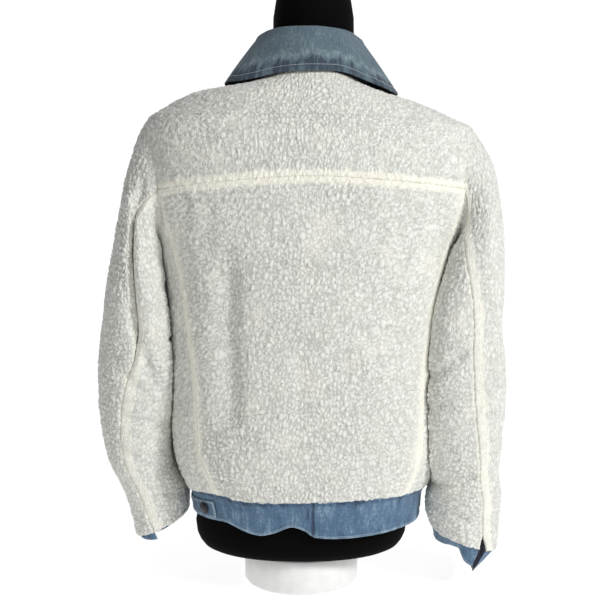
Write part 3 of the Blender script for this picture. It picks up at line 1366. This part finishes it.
weltCut = {
    "angle": 92.0, "across": 9.5, "slant": 24.0, "level": 0.158, "rise": 0.130, "lift": 0.0011,
    "rows": 60, "length": 0.14, "columns": 12, "width": 0.026,
    "base": 0.1, "mottle": (0.2, 0.006), "endThread": 0.0040,
}
cut = weltCut
for side, word in hands.items():
    share = clustered(cut["rows"], cut["length"])[:, None]
    across = cut["across"] * clustered(cut["columns"], cut["width"])[None, ::side]
    angle = side * (cut["angle"] + across + cut["slant"] * share)
    level = np.broadcast_to(cut["level"] + cut["rise"] * share, angle.shape)
    outward = bodyOut(angle, level)
    points = bodyPoint(angle, level) + outward * (cut["lift"] + bandCut["wall"])
    rows = [(where, denimCut["threads"]) for where in ("left", "right")]
    rows += [(where, cut["endThread"]) for where in ("top", "bottom")]
    by, size = cut["mottle"]
    wear = cut["base"] + by * drift(points, size, 8)
    denimPanel(f"pocket_welt_{word}", points, outward, 0 * wear, wear, rows, bandCut["wall"])
print("collar, placket and welts made")


def turned(node, profile, place, facing, look, sides):
    # a shape turned on an axis, from a profile of (radius, height) that starts and ends on it
    facing = unitOf(np.asarray(facing, float))
    aside = unitOf(np.cross(facing, (0.31, 0.17, 0.93)))
    across = np.cross(facing, aside)
    turns = np.linspace(0, 2 * np.pi, sides, endpoint=False)
    spokes = aside * np.cos(turns)[:, None] + across * np.sin(turns)[:, None]
    rings = [place + spokes * radius + facing * height for radius, height in profile[1:-1]]
    verts = [place + facing * profile[0][1], *np.concatenate(rings), place + facing * profile[-1][1]]
    last = 1 + (len(rings) - 1) * sides
    around = [(i, (i + 1) % sides) for i in range(sides)]
    caps = [(0, 1 + b, 1 + a) for a, b in around]
    caps += [(last + a, last + b, len(verts) - 1) for a, b in around]
    mesh = makeMesh(node + "_turned", np.array(verts), 1 + tubeFaces(len(rings), sides), caps)
    mesh.set_sharp_from_angle(angle=math.radians(55))
    dressed(placed(node + "_turned", mesh, look.material), node)


buttonCut = {
    "radius": 0.0085, "seat": 0.0003, "sides": 40,
    # share of the radius, height
    "profile": (
        (0, 0), (0.8, 0), (0.96, 0.0003), (1, 0.0008), (0.99, 0.0014), (0.93, 0.0018),
        (0.87, 0.0018), (0.83, 0.0014), (0.79, 0.0016), (0.66, 0.0024), (0.45, 0.003),
        (0.22, 0.0033), (0, 0.0034),
    ),
    "frontLevels": (0.100, 0.215, 0.330, 0.445, 0.560),
}


def scaled(profile, radius, height):
    return [(r * radius, h * height) for r, h in profile]


def button(name, place, facing):
    profile = scaled(buttonCut["profile"], buttonCut["radius"], 1.0)
    place = place + facing * buttonCut["seat"]
    turned(name, profile, place, facing, metal, buttonCut["sides"])


for side, word in hands.items():
    spot, height = np.array(tabCut[word]["button"]), np.array(tabCut["buttonShare"])
    across = bandPoint(spot + 0.5, height) - bandPoint(spot - 0.5, height)
    upward = bandPoint(spot, height + 0.05) - bandPoint(spot, height - 0.05)
    facing = unitOf(np.cross(across, upward))
    button(f"button_tab_{word}", bandPoint(spot, height, tabLift) + facing * bandCut["laidOn"], facing)
for i, level in enumerate(buttonCut["frontLevels"]):
    there = np.array(180.0), np.array(level)
    facing = bodyOut(*there)
    button(f"button_front_{i + 1}", bodyPoint(*there) + facing * placketLift, facing)


formCut = {
    "rings": Rows("z across back front", (
        (0.048, 0.124, 0.079, 0.08),
        (0.05, 0.131, 0.0865, 0.088),
        (0.054, 0.138, 0.094, 0.095),
        (0.0615, 0.1435, 0.1005, 0.101),
        (0.07, 0.1472, 0.103, 0.1035),
        (0.085, 0.149, 0.105, 0.1055),
        (0.1, 0.146, 0.1055, 0.1055),
        (0.148, 0.145, 0.106, 0.104),
        (0.228, 0.131, 0.096, 0.096),
        (0.318, 0.115, 0.084, 0.093),
        (0.408, 0.128, 0.088, 0.107),
        (0.488, 0.142, 0.098, 0.112),
        (0.558, 0.152, 0.103, 0.103),
        (0.603, 0.158, 0.102, 0.097),
    )),
    "clearance": 0.0034, "centreX": -0.0135, "centred": (0.14, 0.59), "square": 2.15, "sides": 128,
    "shoulders": (0.640, 0.6494, 0.6628, 0.6762, 0.6896, 0.7015), "shoulderEnd": 0.80,
    "neckX": 0.003, "top": 0.823,
    # z, across, deep
    "neck": (
        (0.696, 0.061, 0.061), (0.718, 0.057, 0.0575), (0.748, 0.055, 0.0555),
        (0.778, 0.0545, 0.055), (0.803, 0.0505, 0.052), (0.823, 0.0465, 0.048),
    ),
}
angles = np.linspace(-180, 180, formCut["sides"] + 1)[:-1]
outX, outY = np.sin(np.radians(angles)), -np.cos(np.radians(angles))
rings = []
for z in formCut["rings"].spots:
    row = formCut["rings"].allAt(z)
    deep = np.where(outY < 0, row["back"], row["front"])
    reach = roundedBox(outX / row["across"], outY / deep, formCut["square"])
    shift = formCut["centreX"] * (1 - smoothStep(*formCut["centred"], z))
    rings.append(stacked(reach * outX + shift, reach * outY, z))
inset = fleeceCut["thick"] + formCut["clearance"]
for level in formCut["shoulders"]:
    levels = np.full(len(angles), level)
    ring = bodyPoint(angles, levels) - bodyOut(angles, levels) * inset
    if level == formCut["shoulders"][0]:
        ring[:, 0] *= formCut["shoulderEnd"]
    rings.append(ring)
for z, across, deep in formCut["neck"]:
    rings.append(stacked(formCut["neckX"] + across * outX, deep * outY, z))
first = np.arange(len(angles))
caps = [tuple(first[::-1]), tuple((len(rings) - 1) * len(angles) + first)]
quads = tubeFaces(len(rings), len(angles))
mesh = makeMesh("dress_form_jersey", np.concatenate(rings), quads, caps)
dressed(placed("dress_form_jersey", mesh, jersey.material), "dress_form")

# shares of the radius and of the height
capCut = {
    "radius": 0.047, "height": 0.010, "seat": 0.0003, "sides": 96,
    "profile": ((0, 0), (0.955, 0), (1, 0.2), (1, 0.62), (0.97, 0.9), (0.9, 1.0), (0, 1.0)),
}
riserCut = {
    "radius": 0.080, "height": 0.0477, "sides": 128,
    "profile": (
        (0, 0), (0.975, 0), (0.985, 0.04), (1, 0.06), (1, 0.93), (0.985, 0.985), (0.965, 1), (0, 1),
    ),
}
for name, cut, place, look in (
    ("neck_cap", capCut, (formCut["neckX"], 0, formCut["top"] + capCut["seat"]), jersey),
    ("riser", riserCut, (formCut["centreX"], 0, 0), board),
):
    profile = scaled(cut["profile"], cut["radius"], cut["height"])
    turned(name, profile, np.array(place), (0, 0, 1), look, cut["sides"])
print("form and riser made")


# a floor that curves up behind; it glows, less where it lies in front of the camera's view
floorCut = {
    "width": 6.0, "near": -4.0, "start": 1.3, "bend": 0.8, "height": 4.0, "steps": 12,
    "dim": colour(168, 168, 168), "bright": (1, 1, 1, 1), "from": -1.2, "to": -0.08,
    "base": (0.3, 0.3, 0.3, 1), "glow": 0.85,
}
path = [(floorCut["near"], 0.0), (floorCut["start"], 0.0)]
for i in range(1, floorCut["steps"] + 1):
    turn, bend = math.pi / 2 * i / floorCut["steps"], floorCut["bend"]
    path.append((floorCut["start"] + bend * math.sin(turn), bend * (1 - math.cos(turn))))
path.append((floorCut["start"] + floorCut["bend"], floorCut["height"]))
verts = np.array([(x * floorCut["width"], y, z) for y, z in path for x in (-0.5, 0.5)])
look = Look(
    "studio_floor", "riser", base_color=floorCut["base"], roughness=0.9,
    emission_strength=floorCut["glow"],
)
depth = look.add("SeparateXYZ", {}, {"Vector": look.add("TexCoord", {}, {}, "Object")}, "Y")
share = look.ramp(depth, floorCut["from"], floorCut["to"])
look.paint("Emission Color", look.mixed(share, floorCut["dim"], floorCut["bright"]))
floor = placed("studio_floor", makeMesh("studio_floor", verts, gridFaces(len(path), 2)), look.material)

cameraCut = {"place": (-11 / 718, -1.4, 0.533), "down": 5.65, "lens": 60.6, "sensor": 36.0}
cameraData = bpy.data.cameras.new("camera")
cameraData.lens, cameraData.sensor_width = cameraCut["lens"], cameraCut["sensor"]
camera = bpy.data.objects.new("camera", cameraData)
camera.location = cameraCut["place"]
camera.rotation_euler = (math.radians(90 - cameraCut["down"]), 0, 0)
scene.collection.objects.link(camera)
scene.camera = camera

# place, aim, size, power
lightCut = {
    "key": ((1.6, -1.4, 1.55), (0, 0, 0.40), 0.5, 33.0),
    "front": ((0.8, -1.5, 1.05), (0, 0, 0.40), 0.6, 4.0),
    "fill": ((-0.5, -1.7, 1.4), (0, 0, 0.5), 1.0, 3.6),
}
for name, (place, aim, size, power) in lightCut.items():
    data = bpy.data.lights.new(name, "AREA")
    data.shape, data.size, data.energy = "DISK", size, power
    light = bpy.data.objects.new(name, data)
    light.location = place
    x, y, z = np.array(place) - np.array(aim)
    light.rotation_euler = math.atan2(math.hypot(x, y), z), 0, math.atan2(y, x) + math.pi / 2
    scene.collection.objects.link(light)
world = bpy.data.worlds.new("studio")
world.use_nodes = True
background = world.node_tree.nodes["Background"]
background.inputs["Color"].default_value = (1, 1, 1, 1)
background.inputs["Strength"].default_value = 0.2
scene.world = world
scene.view_settings.view_transform = "Standard"
print("camera and lights made")
